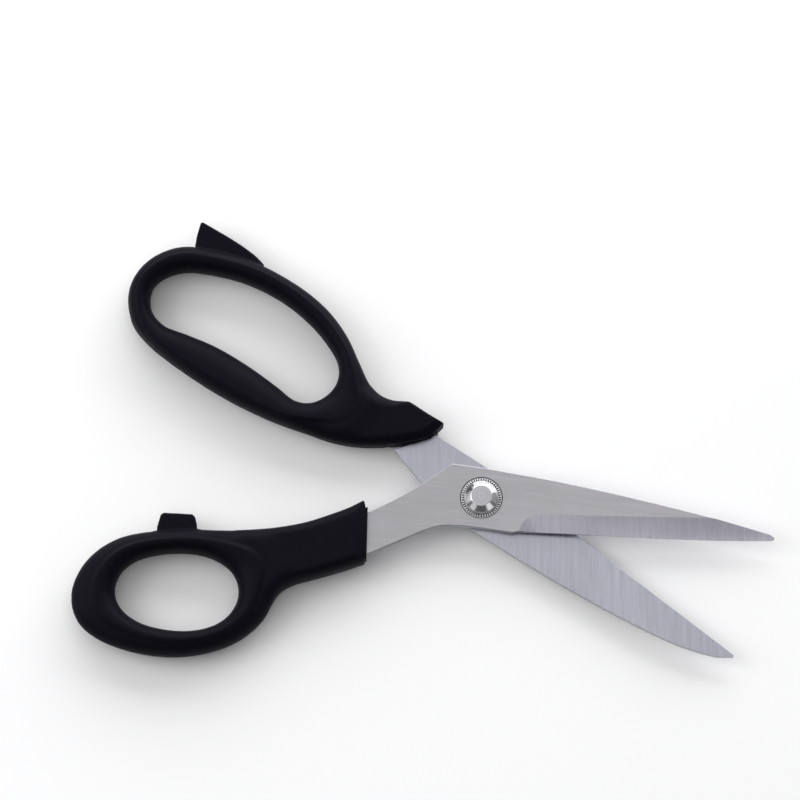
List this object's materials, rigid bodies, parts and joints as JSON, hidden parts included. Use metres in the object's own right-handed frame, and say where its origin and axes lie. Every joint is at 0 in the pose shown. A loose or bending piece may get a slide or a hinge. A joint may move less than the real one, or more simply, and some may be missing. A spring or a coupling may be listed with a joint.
{
  "type": "fabric shears",
  "caption": "Right-handed fabric shears with bent black handles: a long finger bow and a round thumb ring on two pivoted steel blades.",
  "frame": {"origin": "where the pivot axis meets the surface that the shears lie on, at the bolt's lower end", "axes": "+Z along the pivot axis, away from the surface, +X from the handles towards the blade tips, +Y towards the finger bow"},
  "size_m": [0.2382, 0.152, 0.013],
  "materials": {
    "front_blade": "satin",
    "back_blade": "satin",
    "thumb_handle": "fine matte grain",
    "finger_handle": "fine matte grain",
    "thumb_tang_core": "smooth",
    "finger_tang_core": "smooth",
    "pivot_bolt": "turned and polished",
    "toothed_lock_washer": "bright",
    "bearing_washer": "smooth",
    "disc_spring": "bright",
    "tension_nut": "bright"
  },
  "bodies": {
    "finger_half": {"back_blade": "back_blade", "finger_handle": "finger_handle", "finger_tang_core": "finger_tang_core", "bearing_washer": "bearing_washer", "disc_spring": "disc_spring"},
    "thumb_half": {"front_blade": "front_blade", "thumb_handle": "thumb_handle", "thumb_tang_core": "thumb_tang_core", "pivot_bolt": "pivot_bolt", "toothed_lock_washer": "toothed_lock_washer"},
    "nut": {"tension_nut": "tension_nut"}
  },
  "joints": [
    {"name": "blade_pivot", "type": "hinge", "parent": "finger_half", "child": "thumb_half", "pos_m": [0, 0, 0.006], "axis": [0, 0, 1], "range_deg": [-25, 100]},
    {"name": "tension_turn", "type": "hinge", "parent": "thumb_half", "child": "nut", "pos_m": [0, 0, 0.0016], "axis": [0, 0, 1], "range_deg": [-45, 45]}
  ]
}
